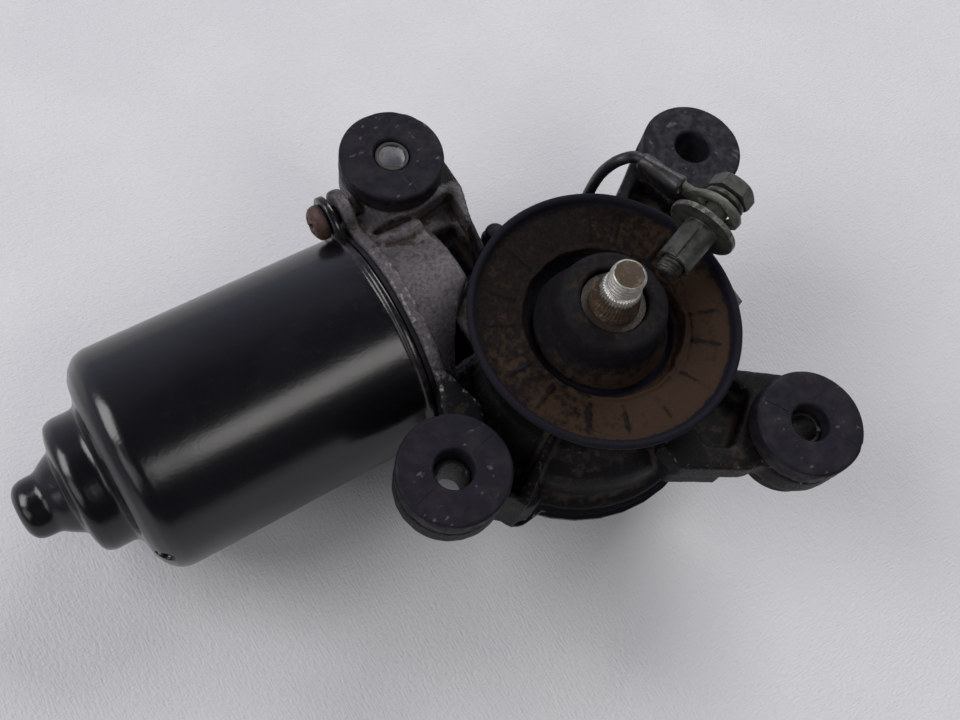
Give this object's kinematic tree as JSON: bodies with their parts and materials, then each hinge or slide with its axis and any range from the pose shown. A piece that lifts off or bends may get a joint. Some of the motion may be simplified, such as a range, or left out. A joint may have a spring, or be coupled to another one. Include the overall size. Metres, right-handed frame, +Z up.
{
  "type": "windshield wiper motor",
  "caption": "Wiper motor: a round black motor can on a worm gearbox casting with rubber-mounted legs, a sealed output shaft and an earth wire with its bolt.",
  "frame": {"origin": "on the output shaft's axis, at the outer face of the gearbox cover", "axes": "+Z up the output shaft, the motor lies along -X, +Y from the shaft towards the worm"},
  "size_m": [0.2009, 0.1363, 0.0841],
  "materials": {
    "cast_aluminium": "raw sand-textured die casting, dulled and grimy",
    "black_enamel": "satin gloss black with a faint orange peel",
    "black_rubber": "charcoal, slightly weathered",
    "dusty_rubber": "black rubber under brown road dust",
    "rusty_steel": "rust-brown",
    "zinc_plated_steel": "dull zinc",
    "bright_steel": "bright turned",
    "bronze": "sintered",
    "copper": "bare",
    "ferrite": "dark grey ceramic",
    "nylon": "natural",
    "phenolic": "brown",
    "carbon": "black",
    "black_plastic": "black"
  },
  "bodies": {
    "housing": {"gear_housing": "cast_aluminium", "gear_cover": "black_enamel", "cover_gasket": "black_rubber", "cover_screw_1": "zinc_plated_steel", "cover_screw_2": "zinc_plated_steel", "cover_screw_3": "zinc_plated_steel", "cover_screw_4": "zinc_plated_steel", "motor_yoke": "black_enamel", "yoke_seal": "black_rubber", "yoke_screw_upper": "rusty_steel", "yoke_screw_lower": "rusty_steel", "splash_seal": "dusty_rubber", "shaft_boot": "dusty_rubber", "upper_bush": "bronze", "lower_bush": "bronze", "grommet_rear": "black_rubber", "grommet_nose": "black_rubber", "grommet_near": "black_rubber", "grommet_front": "black_rubber", "grommet_sleeve_rear": "zinc_plated_steel", "grommet_sleeve_near": "zinc_plated_steel", "grommet_sleeve_front": "zinc_plated_steel", "magnet_upper": "ferrite", "magnet_lower": "ferrite", "rear_bush": "bronze", "front_bush": "bronze", "thrust_screw": "zinc_plated_steel", "thrust_locknut": "zinc_plated_steel", "brush_plate": "phenolic", "contact_base": "phenolic", "contact_leaf_1": "bronze", "contact_leaf_2": "bronze", "contact_leaf_3": "bronze", "connector_socket": "black_plastic", "terminal_1": "copper", "terminal_2": "copper", "terminal_3": "copper", "breather_cap": "black_plastic", "wire_gland": "black_rubber", "ring_terminal": "zinc_plated_steel", "wire_crimp_sleeve": "black_plastic", "ground_wire": "black_plastic"},
    "output": {"output_shaft": "bright_steel", "worm_wheel": "nylon", "park_disc": "copper", "retaining_ring": "bright_steel"},
    "armature": {"armature_shaft": "bright_steel", "lamination_core": "zinc_plated_steel", "armature_windings": "copper", "commutator": "copper", "thrust_ball": "bright_steel"},
    "low_speed_brush": {"brush_1": "carbon", "brush_spring_1": "bronze"},
    "high_speed_brush": {"brush_2": "carbon", "brush_spring_2": "bronze"},
    "common_brush": {"brush_3": "carbon", "brush_spring_3": "bronze"},
    "earth_bolt": {"ground_bolt": "zinc_plated_steel", "spring_washer": "zinc_plated_steel"},
    "collar": {"bolt_collar": "zinc_plated_steel"}
  },
  "joints": [
    {"name": "output_spin", "type": "hinge", "parent": "housing", "child": "output", "pos_m": [0, 0, 0.012], "axis": [0, 0, 1], "continuous": true},
    {"name": "armature_spin", "type": "hinge", "parent": "housing", "child": "armature", "pos_m": [0, 0.0319, 0.012], "axis": [1, 0, 0], "continuous": true},
    {"name": "low_speed_brush_slide", "type": "slide", "parent": "housing", "child": "low_speed_brush", "axis": [0, 1, 0], "range_m": [0, 0.0015], "stiffness_N_per_m": 200, "springref_m": -0.008},
    {"name": "high_speed_brush_slide", "type": "slide", "parent": "housing", "child": "high_speed_brush", "axis": [0, -0.5, 0.866], "range_m": [0, 0.0015], "stiffness_N_per_m": 200, "springref_m": -0.008},
    {"name": "common_brush_slide", "type": "slide", "parent": "housing", "child": "common_brush", "axis": [0, -1, 0], "range_m": [0, 0.0015], "stiffness_N_per_m": 200, "springref_m": -0.008},
    {"name": "earth_bolt_spin", "type": "hinge", "parent": "housing", "child": "earth_bolt", "pos_m": [0.0146, 0.0001, 0.0523], "axis": [0.9222, 0.3282, 0.2045], "continuous": true},
    {"name": "collar_slide", "type": "slide", "parent": "earth_bolt", "child": "collar", "axis": [0.9222, 0.3282, 0.2045], "range_m": [0, 0.0045]}
  ],
  "couplings": [
    {"joint": "armature_spin", "follows": "output_spin", "ratio": 53}
  ]
}
